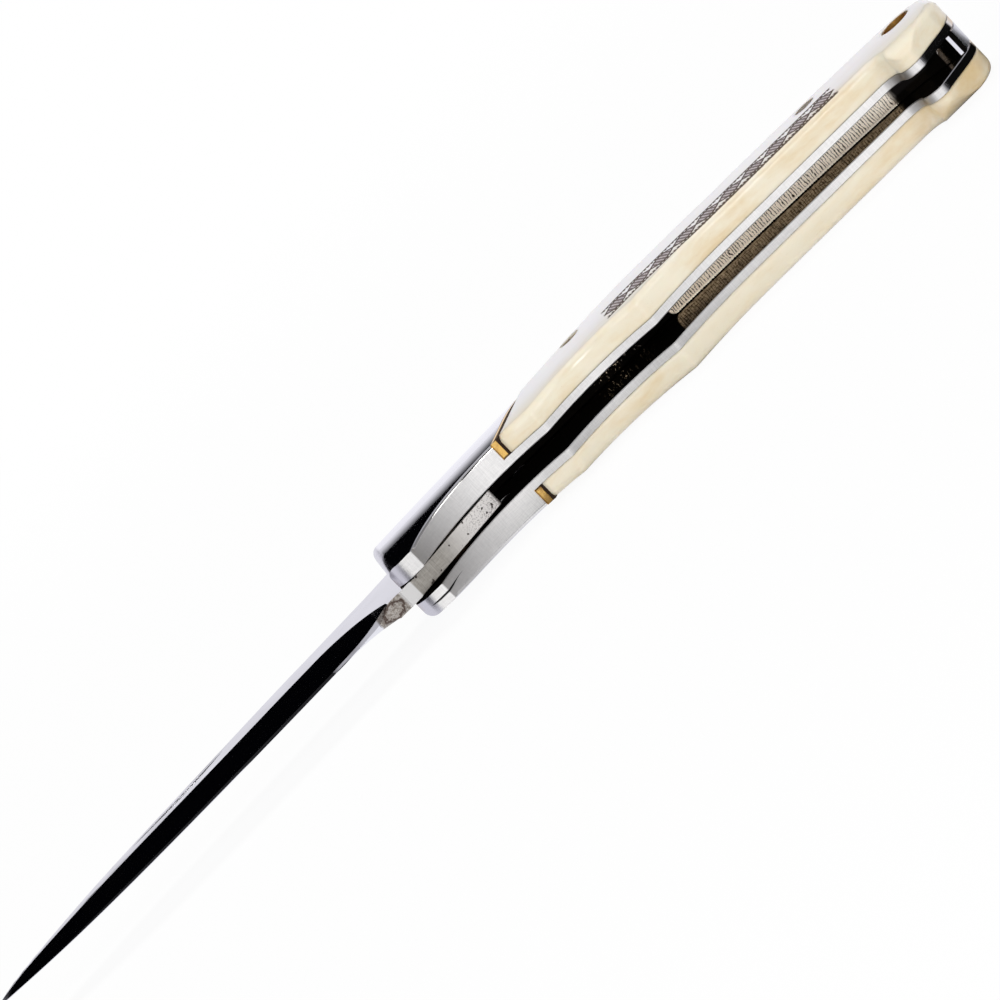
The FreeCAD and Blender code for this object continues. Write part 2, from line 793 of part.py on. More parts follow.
def make_lock_spring():
    """Back block that fills the butt, with the leaf that lifts the lock bar's foot."""
    body = new_body("lock_spring")
    sketch = new_sketch(body, "outline")
    front = "lock_rear_x + block_gap"
    corners = [
        (front, back_level(front)),
        BUTT_TOP,
        BUTT_END,
        BUTT_CORNER,
        ("leaf_root_x", "leaf_root_y"),
        ("leaf_tip_x", "leaf_tip_y"),
        ("leaf_tip_x", "leaf_tip_y + leaf_tip_thickness"),
        (front, "leaf_heel_y"),
    ]
    sides = [
        ("back_radius", RIGHT_OF_TRAVEL),
        "tangent",
        "tangent",
        ("flare_radius", LEFT_OF_TRAVEL),
        ("leaf_radius", LEFT_OF_TRAVEL),
        "line",
        "line",
        "line",
    ]
    outline(sketch, corners, sides)
    pad(body, sketch, "slot_width - 2 * block_side_gap", symmetric=True)
    tip_x = value("leaf_tip_x")

    def at_tip(shape, edge):
        ends = [vertex.Point for vertex in edge.Vertexes]
        return all(abs(end.x - tip_x) < TOUCH for end in ends) and abs(ends[0].z - ends[-1].z) < TOUCH
    rounded(body, "tip", "leaf_tip_rounding", at_tip)
    broken(body, "butt", "butt_break", upright_at(BUTT_CORNER))
    broken(body, "rims", "edge_break", rim_towards(-1, 1))
    bore(body, "holes", THROUGH_HOLES[1:])
    return body


def make_pin(name, x, y, radius, low, high):
    """Pin along z between two levels, measured from the middle of the slot."""
    pin = doc.addObject("Part::Cylinder", name)
    pin.Label = name
    bind(pin, "Radius", radius)
    bind(pin, "Height", "(%s) - (%s)" % (high, low))
    bind(pin, "Placement.Base.x", x + " - rest_x")
    bind(pin, "Placement.Base.y", y + " - rest_y")
    bind(pin, "Placement.Base.z", "(%s) + half_thickness" % low)
    return pin


def make_through_pin(name, x, y, radius, half):
    return make_pin(name, x, y, radius, "-(%s)" % half, half)


def make_ring(name, x, y, radius, hole, low, high):
    """Washer or tube: one pin cut out of another."""
    ring = doc.addObject("Part::Cut", name)
    ring.Label = name
    ring.Base = make_pin(name + "_outside", x, y, radius, low, high)
    ring.Tool = make_pin(name + "_hole", x, y, hole, "(%s) - overrun" % low, "(%s) + overrun" % high)
    return ring


def make_bolster_pins():
    """Two hidden pins that hold a bolster to its liner, as one group."""
    group = doc.addObject("Part::Compound", "bolster_pins_left")
    group.Label = "bolster_pins_left"
    low = "slot_width / 2 + pin_recess"
    high = LINER_OUTSIDE + " + bolster_pin_depth - pin_fit"
    group.Links = [
        make_pin("bolster_pin_%d" % number, x, y, "bolster_pin_radius", low, high)
        for number, (x, y) in enumerate(BOLSTER_PIN_PLACES)]
    return group


def below_crown(level, y, radius):
    """Half the length of a pin that ends just under the crowned scale at a given height."""
    return "%s - (%s) - pin_recess" % (level, crown_drop(y, radius))


LOCK_PIN_FRONT = "lock_pin_x - handle_pin_radius"
LOCK_PIN_HIGH = "(lock_pin_y + handle_pin_radius)"
LOCK_PIN_HALF = "min(%s; %s)" % (
    below_crown(face_level(LOCK_PIN_FRONT, *TAPER), LOCK_PIN_HIGH, "scale_crown_radius"),
    below_crown(face_level(LOCK_PIN_FRONT, *SHOULDER), LOCK_PIN_HIGH, "bolster_crown_radius"))
SPRING_PIN_HALF = below_crown("half_thickness", "(spring_pin_y + handle_pin_radius)", "scale_crown_radius")
PIVOT_PIN_HALF = LINER_OUTSIDE + " + pivot_pin_depth - pin_fit"
TUBE_HALF = below_crown("half_thickness", "(tube_y + tube_radius)", "scale_crown_radius")


def make_right(left):
    """The same piece on the other side of the knife."""
    name = left.Label.replace("_left", "_right")
    right = doc.addObject("Part::Mirroring", name)
    right.Label = name
    right.Source = left
    right.Normal = FreeCAD.Vector(0, 0, 1)
    bind(right, "Base.z", "half_thickness")
    return right


def put_in_place(body, turn="0"):
    """Move a piece drawn about the pivot to its place above the resting face."""
    turning = FreeCAD.Rotation(FreeCAD.Vector(0, 0, 1), value(turn))
    body.Placement = FreeCAD.Placement(FreeCAD.Vector(), turning)
    bind(body, "Placement.Base.x", "-rest_x")
    bind(body, "Placement.Base.y", "-rest_y")
    bind(body, "Placement.Base.z", "half_thickness")
    bind(body, "Placement.Rotation.Angle", turn)
    return body


pieces = []
for half in (
        put_in_place(make_liner()),
        put_in_place(make_bolster()),
        put_in_place(make_brass_strip()),
        put_in_place(make_strip("fibre_strip_left", "brass_strip", "fibre_strip")),
        put_in_place(make_scale()),
        make_ring("pivot_washer_left", "0", "0", "washer_radius", "pivot_pin_radius + running_fit",
                  "blade_thickness / 2 + washer_gap", "slot_width / 2 - washer_gap"),
        make_bolster_pins()):
    pieces += [half, make_right(half)]
pieces += [
    put_in_place(make_blade(), "droop"),
    put_in_place(make_lock_bar()),
    put_in_place(make_lock_spring()),
    make_through_pin("pivot_pin", "0", "0", "pivot_pin_radius", PIVOT_PIN_HALF),
    make_through_pin("lock_pin", "lock_pin_x", "lock_pin_y", "handle_pin_radius", LOCK_PIN_HALF),
    make_through_pin("spring_pin", "spring_pin_x", "spring_pin_y", "handle_pin_radius", SPRING_PIN_HALF),
    make_ring("lanyard_tube", "tube_x", "tube_y", "tube_radius", "tube_bore",
              "-(%s)" % TUBE_HALF, TUBE_HALF),
]
doc.recompute()

for item in doc.Objects:
    if {"Invalid", "Error"} & set(item.State):
        raise RuntimeError(item.Name + " did not compute")
for piece in pieces:
    if piece.Shape.isNull() or not piece.Shape.isValid():
        raise RuntimeError(piece.Label + " has no valid shape")

os.makedirs("parts", exist_ok=True)
for piece in pieces:
    piece.Shape.exportStep("parts/%s.step" % piece.Label)
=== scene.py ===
import json
import math

import bpy
from mathutils import Matrix, Vector


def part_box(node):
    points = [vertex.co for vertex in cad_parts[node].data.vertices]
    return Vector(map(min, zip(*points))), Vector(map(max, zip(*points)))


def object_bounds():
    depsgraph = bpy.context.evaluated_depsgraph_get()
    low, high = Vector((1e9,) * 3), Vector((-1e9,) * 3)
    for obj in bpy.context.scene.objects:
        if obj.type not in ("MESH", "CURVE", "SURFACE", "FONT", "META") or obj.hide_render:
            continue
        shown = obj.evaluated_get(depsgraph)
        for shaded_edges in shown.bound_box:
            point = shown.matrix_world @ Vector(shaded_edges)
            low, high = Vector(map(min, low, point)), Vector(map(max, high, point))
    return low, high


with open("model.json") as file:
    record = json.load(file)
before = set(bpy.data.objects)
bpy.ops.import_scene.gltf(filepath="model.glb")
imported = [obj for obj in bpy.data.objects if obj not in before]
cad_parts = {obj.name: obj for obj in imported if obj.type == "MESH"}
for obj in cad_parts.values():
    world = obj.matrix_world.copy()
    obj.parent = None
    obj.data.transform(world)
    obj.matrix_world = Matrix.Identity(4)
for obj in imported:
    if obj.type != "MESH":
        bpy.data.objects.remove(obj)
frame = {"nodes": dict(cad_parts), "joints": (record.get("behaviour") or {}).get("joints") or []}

bl_info = {
    "name": "Lockback pocket knife",
    "version": (1, 0, 0),
    "blender": (4, 5, 0),
    "location": "3D View > Sidebar > Pocket Knife",
    "description": "Finishes the pieces of a bone-handled lockback knife and sets its studio",
    "category": "Object",
}

CAD_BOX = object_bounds()
JOINTS = {joint["name"]: joint for joint in frame["joints"]}
PIVOT = Vector(JOINTS["blade_pivot"]["pos_m"])
MM = 0.001
LINER_OUTSIDE = (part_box("liner_left")[1].z - PIVOT.z) / MM

# Places along the knife, in millimetres from the blade's pivot towards the butt
CHOIL = (-14.0, -9.4)
TANG_START = (-9.5, -9.1)
TANG_FACET = (-9.1, -7.0)
GUARD_FRONT = -5.8
GUARD_REAR = -3.7
HEEL = (2.5, 6.5)
LINT_PATCH = (33.0, 41.0)
LEAF = (40.0, 91.0)
BEFORE_BEAK = (92.4, 94.4)
POLISHED_BUTT = (96.5, 98.5)
POLISHED_BLOCK = (100.3, 100.5)
SATIN_END = (103.0, 104.6)
BLOCK_SHADOW = (103.1, 103.9)

# Half thickness of the handle, and how it thins in front of the taper's end
HALF_THICKNESS = 6.9
TAPER_SLOPE = 0.0279
TAPER_END = 45.0

# Front edge of the brass strip: its place at the pivot's height, its slant and its bend
STRIP_EDGE = (16.44, 0.5865, 0.0037)

# Colours that belong to one piece of a finish
# Near-black of the dull covers: painted shade down in the slot and on the spring's block, with oily
# mottling on the walls
SHADE_AND_GRIME = (0.004, 0.0035, 0.003)
# Grey painted on brushed steel as shade behind the guard and before the beak
SHADE_GREY = (0.20, 0.19, 0.18)
# Darker copy of the mirror steel, painted shade on the polished nose
NOSE_STEEL = (0.56, 0.55, 0.61)
CRACK = (0.01, 0.009, 0.008)
TANG_STEEL = (0.70, 0.66, 0.58)
HEEL_STEEL = (0.86, 0.83, 0.78)
WORN_CHOIL = ((0.24, 0.21, 0.18), (0.46, 0.43, 0.39))
CHOIL_RING = (0.075, 0.05, 0.04)
PITS = (0.06, 0.05, 0.045)
LINT = (0.75, 0.72, 0.65)
# Leaf colours: near-black and pale, painting the light and shade of its grinding ridges
LEAF_LIT_AND_SHADED = ((0.05, 0.034, 0.022), (1.0, 0.91, 0.76))
WALL_TINT = (0.80, 0.68, 0.54)
DULL_BRASS = (0.50, 0.28, 0.09)
# Near-black painted shade for the edges and gaps of the brass strips
BRASS_GAP_SHADE = (0.03, 0.014, 0.006)
# Lavender-white painted sheen on the bone's faces
SHEEN_WHITE_BONE = (0.93, 0.92, 0.95)
BONE_SEAM = (0.10, 0.065, 0.03)


class Signal:
    """A socket in a node tree, so that shader sums are written as Python sums."""

    def __init__(self, nodes, socket):
        self.nodes = nodes
        self.socket = socket

    def __add__(self, other):
        return self.nodes.math("ADD", self, other)

    def __radd__(self, other):
        return self.nodes.math("ADD", other, self)

    def __sub__(self, other):
        return self.nodes.math("SUBTRACT", self, other)

    def __rsub__(self, other):
        return self.nodes.math("SUBTRACT", other, self)

    def __mul__(self, other):
        return self.nodes.math("MULTIPLY", self, other)

    def __rmul__(self, other):
        return self.nodes.math("MULTIPLY", other, self)

    def __truediv__(self, other):
        return self.nodes.math("DIVIDE", self, other)

    def __abs__(self):
        return self.nodes.math("ABSOLUTE", self)


class Nodes:
    """A node tree that is written with expressions."""

    def __init__(self, tree):
        self.tree = tree
        tree.nodes.clear()

    def node(self, kind, settings=None, inputs=None, output=0):
        """Adds a node, sets it, fills its sockets and gives one of its outputs, if it has any."""
        made = self.tree.nodes.new(kind)
        for name, setting in (settings or {}).items():
            setattr(made, name, setting)
        for name, value in (inputs or {}).items():
            if isinstance(value, Signal):
                self.tree.links.new(value.socket, made.inputs[name])
            else:
                made.inputs[name].default_value = value
        return Signal(self, made.outputs[output]) if made.outputs else None

    def math(self, operation, *values):
        return self.node("ShaderNodeMath", {"operation": operation}, dict(enumerate(values)))

    def vector(self, operation, first, second):
        return self.node("ShaderNodeVectorMath", {"operation": operation}, {0: first, 1: second})

    def axes(self, vector):
        """The three numbers of a vector."""
        parts = self.node("ShaderNodeSeparateXYZ", {}, {0: vector}).socket.node
        return [Signal(self, socket) for socket in parts.outputs]

    def step(self, low, high, value):
        """0 below low, 1 above high and smooth between."""
        settings = {"interpolation_type": "SMOOTHSTEP"}
        return self.node(
            "ShaderNodeMapRange", settings, {"Value": value, "From Min": low, "From Max": high})

    def between(self, low, high, soft, value):
        """1 from low to high, with soft ends."""
        return self.step(low - soft, low, value) * (1 - self.step(high, high + soft, value))

    def mix(self, factor, first, second, blend="MIX"):
        """Colour between first and second."""
        settings = {"data_type": "RGBA", "blend_type": blend}
        inputs = {0: factor, 6: first, 7: second}
        inputs = {k: (*v, 1.0) if isinstance(v, (tuple, list)) and len(v) == 3 else v
                  for k, v in inputs.items()}
        return self.node("ShaderNodeMix", settings, inputs, 2)

    def noise(self, place, stretch, detail=3.0, rough=0.55, twist=0.0):
        """Noise with stretch periods to a unit of place along each axis."""
        at = self.vector("MULTIPLY", place, stretch)
        inputs = {"Vector": at, "Scale": 1.0, "Detail": detail, "Roughness": rough,
                  "Distortion": twist}
        return self.node("ShaderNodeTexNoise", {}, inputs)

    def ray(self, name):
        return self.node("ShaderNodeLightPath", {}, {}, name)


class Finish(Nodes):
    """A material on object coordinates, in millimetres from the blade's pivot."""

    def __init__(self, name):
        self.material = bpy.data.materials.new(name)
        self.material.use_nodes = True
        super().__init__(self.material.node_tree)
        place = self.node("ShaderNodeTexCoord", {}, {}, "Object")
        from_pivot = self.vector("SUBTRACT", place, PIVOT)
        self.spot = self.vector("MULTIPLY", from_pivot, (1 / MM,) * 3)
        self.x, self.y, self.z = self.axes(self.spot)

    def facing(self, normal=None):
        """Surface direction in the piece's own axes."""
        normal = normal or self.node("ShaderNodeNewGeometry", {}, {}, "Normal")
        settings = {"vector_type": "NORMAL", "convert_from": "WORLD", "convert_to": "OBJECT"}
        return self.axes(self.node("ShaderNodeVectorTransform", settings, {0: normal}))

    def bump(self, height, depth, normal=None):
        """Normal of a relief whose full height is depth millimetres."""
        inputs = {"Strength": 1.0, "Distance": depth * MM, "Height": height}
        if normal:
            inputs["Normal"] = normal
        return self.node("ShaderNodeBump", {}, inputs)

    def softened(self, radius):
        """Surface direction with edges rounded to a radius in millimetres."""
        return self.node("ShaderNodeBevel", {"samples": 8}, {"Radius": radius * MM})

    def shade(self, cover=None, cover_colour=SHADE_AND_GRIME, **inputs):
        """Closes the material with a principled shader, named sockets with underscores.

        Where there is a cover of painted shade, oily dirt or ink, that share of the surface is dull.
        """
        named = {}
        for name, value in inputs.items():
            if isinstance(value, tuple) and len(value) == 3 and "Radius" not in name:
                value = (*value, 1.0)
            named[name.replace("_", " ")] = value
        surface = self.node("ShaderNodeBsdfPrincipled", {}, named)
        if cover:
            dull = {"Base Color": (*cover_colour, 1.0), "Roughness": 1.0, "Specular IOR Level": 0.0}
            dull = self.node("ShaderNodeBsdfPrincipled", {}, dull)
            surface = self.node("ShaderNodeMixShader", {}, {0: cover, 1: surface, 2: dull})
        self.node("ShaderNodeOutputMaterial", {}, {"Surface": surface})
        return self.material


class SteelSettings(bpy.types.PropertyGroup):
    """Colours of the steel pieces."""

    mirror: bpy.props.FloatVectorProperty(
        name="Mirror steel", description="Colour of the polished steel",
        subtype="COLOR", default=(0.80, 0.80, 0.83), min=0.0, max=1.0)
    brushed: bpy.props.FloatVectorProperty(
        name="Brushed steel", description="Colour of the steel left from the belt",
        subtype="COLOR", default=(0.83, 0.82, 0.79), min=0.0, max=1.0)
    # Near-black steel: painted shade for the surfaces down in the slot, also the colour of the blind
    # pins
    dark: bpy.props.FloatVectorProperty(
        name="Shaded oily steel", description="Colour of the steel down in the slot",
        subtype="COLOR", default=(0.020, 0.018, 0.017), min=0.0, max=1.0)


class BoneSettings(bpy.types.PropertyGroup):
    """Colours of the bone scales and the band drawn on the left one."""

    cream: bpy.props.FloatVectorProperty(
        name="Cream", description="Colour of clean bone",
        subtype="COLOR", default=(0.86, 0.79, 0.63), min=0.0, max=1.0)
    tan: bpy.props.FloatVectorProperty(
        name="Tan", description="Colour of the aged patches",
        subtype="COLOR", default=(0.74, 0.56, 0.30), min=0.0, max=1.0)
    ink: bpy.props.FloatVectorProperty(
        name="Ink", description="Colour of the drawn band",
        subtype="COLOR", default=(0.050, 0.027, 0.018), min=0.0, max=1.0)
    wash: bpy.props.FloatVectorProperty(
        name="Wash", description="Tint inside the drawn band",
        subtype="COLOR", default=(0.36, 0.24, 0.27), min=0.0, max=1.0)


class BrassSettings(bpy.types.PropertyGroup):
    """Colours of the spacers, washers and tube."""

    brass: bpy.props.FloatVectorProperty(
        name="Brass", description="Colour of the brass",
        subtype="COLOR", default=(0.86, 0.54, 0.16), min=0.0, max=1.0)
    fibre: bpy.props.FloatVectorProperty(
        name="Fibre", description="Colour of the fibre spacer",
        subtype="COLOR", default=(0.022, 0.012, 0.008), min=0.0, max=1.0)
    # Near-black washers: their colour is painted shade for the dark gaps they sit in
    shaded_bronze: bpy.props.FloatVectorProperty(
        name="Bronze", description="Colour of the washers",
        subtype="COLOR", default=(0.03, 0.018, 0.01), min=0.0, max=1.0)


class StageSettings(bpy.types.PropertyGroup):
    """Camera and light."""

    camera_distance: bpy.props.FloatProperty(
        name="Camera distance", description="From the camera to the point it looks at",
        unit="LENGTH", default=0.95, min=0.3)
    field_width: bpy.props.FloatProperty(
        name="Field width", description="Width of the view at that point",
        unit="LENGTH", default=0.1439, min=0.01)
    elevation: bpy.props.FloatProperty(
        name="Elevation", description="Height of the camera over the horizon",
        subtype="ANGLE", default=math.asin(0.2))
    roll: bpy.props.FloatProperty(
        name="Roll", description="Slant of the handle in the view",
        subtype="ANGLE", default=math.radians(44.475))
    aim_along: bpy.props.FloatProperty(
        name="Aim along", description="Point looked at, from the pivot towards the butt",
        unit="LENGTH", default=0.01046)
    aim_up: bpy.props.FloatProperty(
        name="Aim up", description="Point looked at, above the middle plane",
        unit="LENGTH", default=-0.00115)
    fill: bpy.props.FloatProperty(
        name="Fill", description="Even light from all sides", default=0.28, min=0.0)
    lamp: bpy.props.FloatProperty(
        name="Lamps", description="Power of each soft lamp", default=3.4, min=0.0)


def dress(material, *names):
    """Gives the named pieces one material."""
    for name in names:
        mesh = frame["nodes"][name].data
        mesh.materials.clear()
        mesh.materials.append(material)


def shades(finish, mask, colour, low, high):
    """One colour from its low to its high share as the mask rises."""
    dark = tuple(channel * low for channel in colour)
    light = tuple(channel * high for channel in colour)
    return finish.mix(mask, dark, light)


def belt_lines(finish):
    """Fine grinding lines that run across the handle's thickness, crossed by finer ones."""
    across = finish.noise(finish.spot, (9.0, 6.0, 0.5), 2.0)
    along = finish.noise(finish.spot, (0.8, 1.2, 9.0), 2.0)
    return across * 0.55 + along * 0.45


def handle_steel(finish, steel, polished, lines):
    """Colour and roughness of steel that is polished where the mask says and else brushed."""
    cloud = finish.noise(finish.spot, (0.35, 0.35, 0.35), 2.0)
    brushed = shades(finish, finish.step(0.35, 0.65, lines), steel.brushed, 0.86, 1.0)
    behind_guard = finish.step(GUARD_REAR - 0.2, GUARD_REAR, finish.x)
    behind_guard = behind_guard * (1 - finish.step(-2.0, 12.0, finish.x))
    before_beak = finish.between(*BEFORE_BEAK, 1.4, finish.x)
    # Painted shade: the brushed steel turns grey just behind the guard and just before the beak
    painted_shade = behind_guard * 0.55 + before_beak * 0.6
    brushed = finish.mix(painted_shade, brushed, SHADE_GREY)
    nose = nose_mask(finish)
    # Painted shade: the polished nose takes a darker copy of the mirror steel
    mirror = finish.mix(nose, tuple(steel.mirror), NOSE_STEEL)
    colour = finish.mix(polished, brushed, mirror)
    rough = cloud * 0.06 + 0.40
    return colour, rough - polished * (rough - 0.05 - cloud * 0.05 - nose * 0.12)


def nose_mask(finish):
    """1 on the polished rounding in front of the guard's flat."""
    nx, _, _ = finish.facing()
    before = 1 - finish.step(GUARD_FRONT - 0.3, GUARD_FRONT, finish.x)
    return before * finish.step(0.03, 0.3, 0 - nx)


def bolster_finish(steel):
    """Mirror sides and rounded nose, with belly and back left from the belt."""
    finish = Finish("bolster_steel")
    _, ny, nz = finish.facing()
    side = finish.step(0.45, 0.75, abs(nz))
    polished = finish.math("MAXIMUM", side, nose_mask(finish) * 0.85)
    lines = belt_lines(finish)
    colour, roughness = handle_steel(finish, steel, polished, lines)
    below_flat = finish.math("MAXIMUM", 3.0 - finish.y, 0.0)
    crown = below_flat * below_flat / -500.0 * side
    fall = finish.math("MAXIMUM", -2.0 - finish.y, 0.0)
    rim = HALF_THICKNESS - (TAPER_END - finish.x) * TAPER_SLOPE - fall * fall / 90.0
    inside = finish.math("MAXIMUM", 0.55 - (rim - abs(finish.z)), 0.0) * (1 - side)
    inside = inside * finish.step(GUARD_REAR, GUARD_REAR + 1.0, finish.x)
    inside = inside * finish.step(0.3, 0.6, 0 - ny)
    roughness = roughness - finish.step(0.0, 0.15, inside) * (roughness - 0.08)
    crown = crown - inside * inside / 0.9
    width = 0.08 + finish.between(-5.2, -3.4, 2.4, finish.x) * 0.34
    seam = 1 - finish.step(width * 0.5, width, abs(finish.z) - LINER_OUTSIDE)
    crack = seam * finish.between(-6.4, -1.0, 0.8, finish.x) * finish.step(0.0, 1.0, 0 - finish.z)
    colour = finish.mix(crack * (1 - side), colour, CRACK)
    return finish.shade(
        Base_Color=colour, Metallic=1.0, Roughness=roughness,
        Normal=finish.bump(crown + lines * (1 - polished) * 0.01, 1.0))


def liner_finish(steel):
    """Light brushed edges, a polished butt, and walls down in the slot painted dark and dull as
    shade, mottled with oil.
    """
    finish = Finish("liner_steel")
    _, _, nz = finish.facing()
    wall = finish.step(0.8, 0.95, abs(nz))
    butt = finish.step(*POLISHED_BUTT, finish.x)
    polished = finish.math("MAXIMUM", butt, nose_mask(finish) * 0.85)
    lines = belt_lines(finish)
    smear = finish.noise(finish.spot, (0.25, 0.6, 1.0), 4.0, 0.6)
    colour, roughness = handle_steel(finish, steel, polished, lines)
    # Painted shade: the walls take near-black steel, mottled up to five times lighter by oil smears
    oil_and_shade = shades(finish, finish.step(0.3, 0.75, smear), steel.dark, 1.0, 5.0)
    colour = finish.mix(wall, colour, oil_and_shade)
    roughness = roughness - wall * (roughness - 0.06 - smear * 0.10)
    # Painted shade: a dull near-black cover over at least 44% of each wall, heavier in mottled
    # patches
    wall_shade_and_dirt = finish.noise(finish.spot, (1.6, 1.6, 1.0), 4.0, 0.65)
    wall_shade_and_dirt = wall * (finish.step(0.40, 0.62, wall_shade_and_dirt) * 0.46 + 0.44)
    return finish.shade(
        wall_shade_and_dirt, Base_Color=colour, Metallic=1.0, Roughness=roughness, Specular_Tint=WALL_TINT,
        Normal=finish.bump(lines * (1 - polished) * (1 - wall), 0.010))


def blade_finish(steel):
    """Mirror hollow grind, satin tang with a pitted heel, and a choil left from the wheel."""
    finish = Finish("blade_steel")
    _, ny, _ = finish.facing()
    under = finish.step(0.3, 0.6, 0 - ny)
    behind = finish.step(*TANG_START, finish.x)
    tang = behind * under
    facet = finish.between(*TANG_FACET, 0.3, finish.x)
    lines = belt_lines(finish) * (1 - facet)
    brushed = shades(finish, finish.step(0.35, 0.65, lines), TANG_STEEL, 0.38, 0.58)
    brushed = finish.mix(finish.step(-2.0, 7.0, finish.x), brushed, HEEL_STEEL)
    # Painted shade: the facet takes a darker copy of the brushed steel
    brushed = finish.mix(facet, brushed, tuple(c * 0.76 for c in steel.brushed))
    along = (finish.x + 11.4) / 2.0
    across = finish.z / 1.25
    grain = finish.noise(finish.spot, (1.6, 1.6, 1.6), 5.0, 0.7)
    blob = along * along + across * across + (grain - 0.5) * 2.2
    choil = finish.between(*CHOIL, 0.4, finish.x) * finish.step(0.05, 0.3, 0 - ny)
    mottle = finish.step(0.35, 0.7, finish.noise(finish.spot, (3.0, 3.0, 3.0), 3.0, 0.6))
    worn = finish.mix(mottle, *WORN_CHOIL)
    ring = finish.between(0.7, 0.95, 0.3, blob)
    pitted = finish.mix(ring * 0.9, worn, CHOIL_RING)
    spine = finish.step(0.8, 0.95, ny)
    colour = finish.mix(tang, tuple(steel.mirror), brushed)
    colour = finish.mix(spine, colour, shades(finish, lines, steel.brushed, 0.6, 1.0))
    colour = finish.mix(choil, colour, pitted)
    speck = finish.noise(finish.spot, (4.6, 4.6, 4.6), 2.0, 0.5)
    few = finish.noise(finish.spot, (1.2, 1.2, 1.2), 1.0, 0.5)
    heel = finish.step(*HEEL, finish.x)
    pits = finish.step(0.53, 0.61, speck) * heel * 0.42
    pits = finish.math("MAXIMUM", pits, finish.step(0.70, 0.73, few)) * tang
    colour = finish.mix(pits, colour, PITS)
    cloud = finish.noise(finish.spot, (0.2, 0.4, 0.4), 3.0)
    roughness = tang * 0.34 + choil * 0.34 + spine * 0.3 + cloud * 0.05 + 0.03
    relief = lines * (tang + spine) + grain * choil * 6.0 - pits * 2.0
    return finish.shade(
        Base_Color=colour, Metallic=1.0, Roughness=roughness,
        Normal=finish.bump(relief, 0.010))


def lock_bar_finish(steel):
    """Brushed back over sides and an underside that are painted near-black and dull as shade."""
    finish = Finish("lock_bar_steel")
    _, ny, _ = finish.facing()
    back = finish.step(0.4, 0.7, ny)
    lines = belt_lines(finish)
    grit = finish.noise(finish.spot, (2.5, 2.5, 2.5), 4.0, 0.7)
    lint = finish.step(0.60, 0.66, grit) * finish.between(*LINT_PATCH, 2.0, finish.x)
    oil_and_shade = finish.mix(lint, tuple(steel.dark), LINT)
    brushed = shades(finish, finish.step(0.35, 0.65, lines), steel.brushed, 0.84, 1.0)
    colour = finish.mix(back, oil_and_shade, brushed)
    # Painted shade: all but the back and the lint is covered dull near-black
    return finish.shade(
        (1 - back) * (1 - lint) * 0.95,
        Base_Color=colour, Metallic=1.0, Roughness=back * 0.2 + 0.2,
        Normal=finish.bump(lines * back, 0.010))


def spring_finish(steel):
    """Coarse cross grinding on the leaf, painted light and dark along its ridges with painted
    highlights at its edges, and a polished block painted black as shade.
    """
    finish = Finish("spring_steel")
    nx, ny, _ = finish.facing()
    under = finish.step(0.4, 0.7, 0 - ny)
    back = finish.step(0.4, 0.7, ny)
    leaf = finish.between(*LEAF, 1.5, finish.x) * under
    end = finish.step(0.55, 0.75, nx)
    drift = finish.noise(finish.spot, (1.3, 0.8, 0.7), 3.0, 0.7)
    ridges = finish.math("PINGPONG", finish.x + drift * 0.9, 0.22) / 0.22
    ridges = ridges * 0.6 + finish.noise(finish.spot, (2.0, 0.8, 0.9), 2.0) * 0.4
    # Painted highlight: a pale line along each edge of the leaf
    rim = finish.between(1.38, 1.6, 0.06, abs(finish.z))
    painted_highlights = finish.math("MAXIMUM", finish.step(0.26, 0.44, ridges), rim)
    # Painted light and shade: the grinding ridges alternate near-black and pale
    ridges_lit_and_shaded = finish.mix(painted_highlights, *LEAF_LIT_AND_SHADED)
    lines = belt_lines(finish)
    brushed = shades(finish, finish.step(0.35, 0.65, lines), steel.brushed, 0.84, 1.0)
    colour = finish.mix(leaf, tuple(steel.dark), ridges_lit_and_shaded)
    colour = finish.mix(back, colour, brushed)
    end = finish.math("MAXIMUM", end, finish.step(*POLISHED_BLOCK, finish.x) * (1 - back))
    colour = finish.mix(end, colour, tuple(steel.mirror))
    satin = finish.step(*SATIN_END, finish.x) * 0.24
    roughness = leaf * 0.31 + back * (1 - end) * 0.34 + satin + 0.06
    relief = ridges * leaf * (1 - rim) * 2.0 + lines * back * (1 - end)
    # Painted shade: the spring's sides and its block short of the polish are covered dull near-black,
    # and the band just before the butt end is a painted shadow
    shadow = finish.between(*BLOCK_SHADOW, 0.05, finish.x) * (1 - back)
    return finish.shade(
        finish.math("MAXIMUM", (1 - leaf) * (1 - back) * (1 - end) * 0.8, shadow),
        Base_Color=colour, Metallic=1.0, Roughness=roughness,
        Normal=finish.bump(relief, 0.010))


def plain_metal(name, colour, roughness, tarnish):
    """Turned metal with faint turning marks and patches of tarnish."""
    finish = Finish(name)
    patch = finish.noise(finish.spot, (0.9, 0.9, 0.9), 4.0, 0.6)
    grain = finish.noise(finish.spot, (8.0, 8.0, 1.2), 2.0)
    dull = finish.step(0.42, 0.72, patch)
    base = finish.mix(dull, tuple(colour), tuple(tarnish))
    return finish.shade(
        Base_Color=base, Metallic=1.0, Roughness=dull * 0.16 + roughness,
        Normal=finish.bump(grain, 0.006))


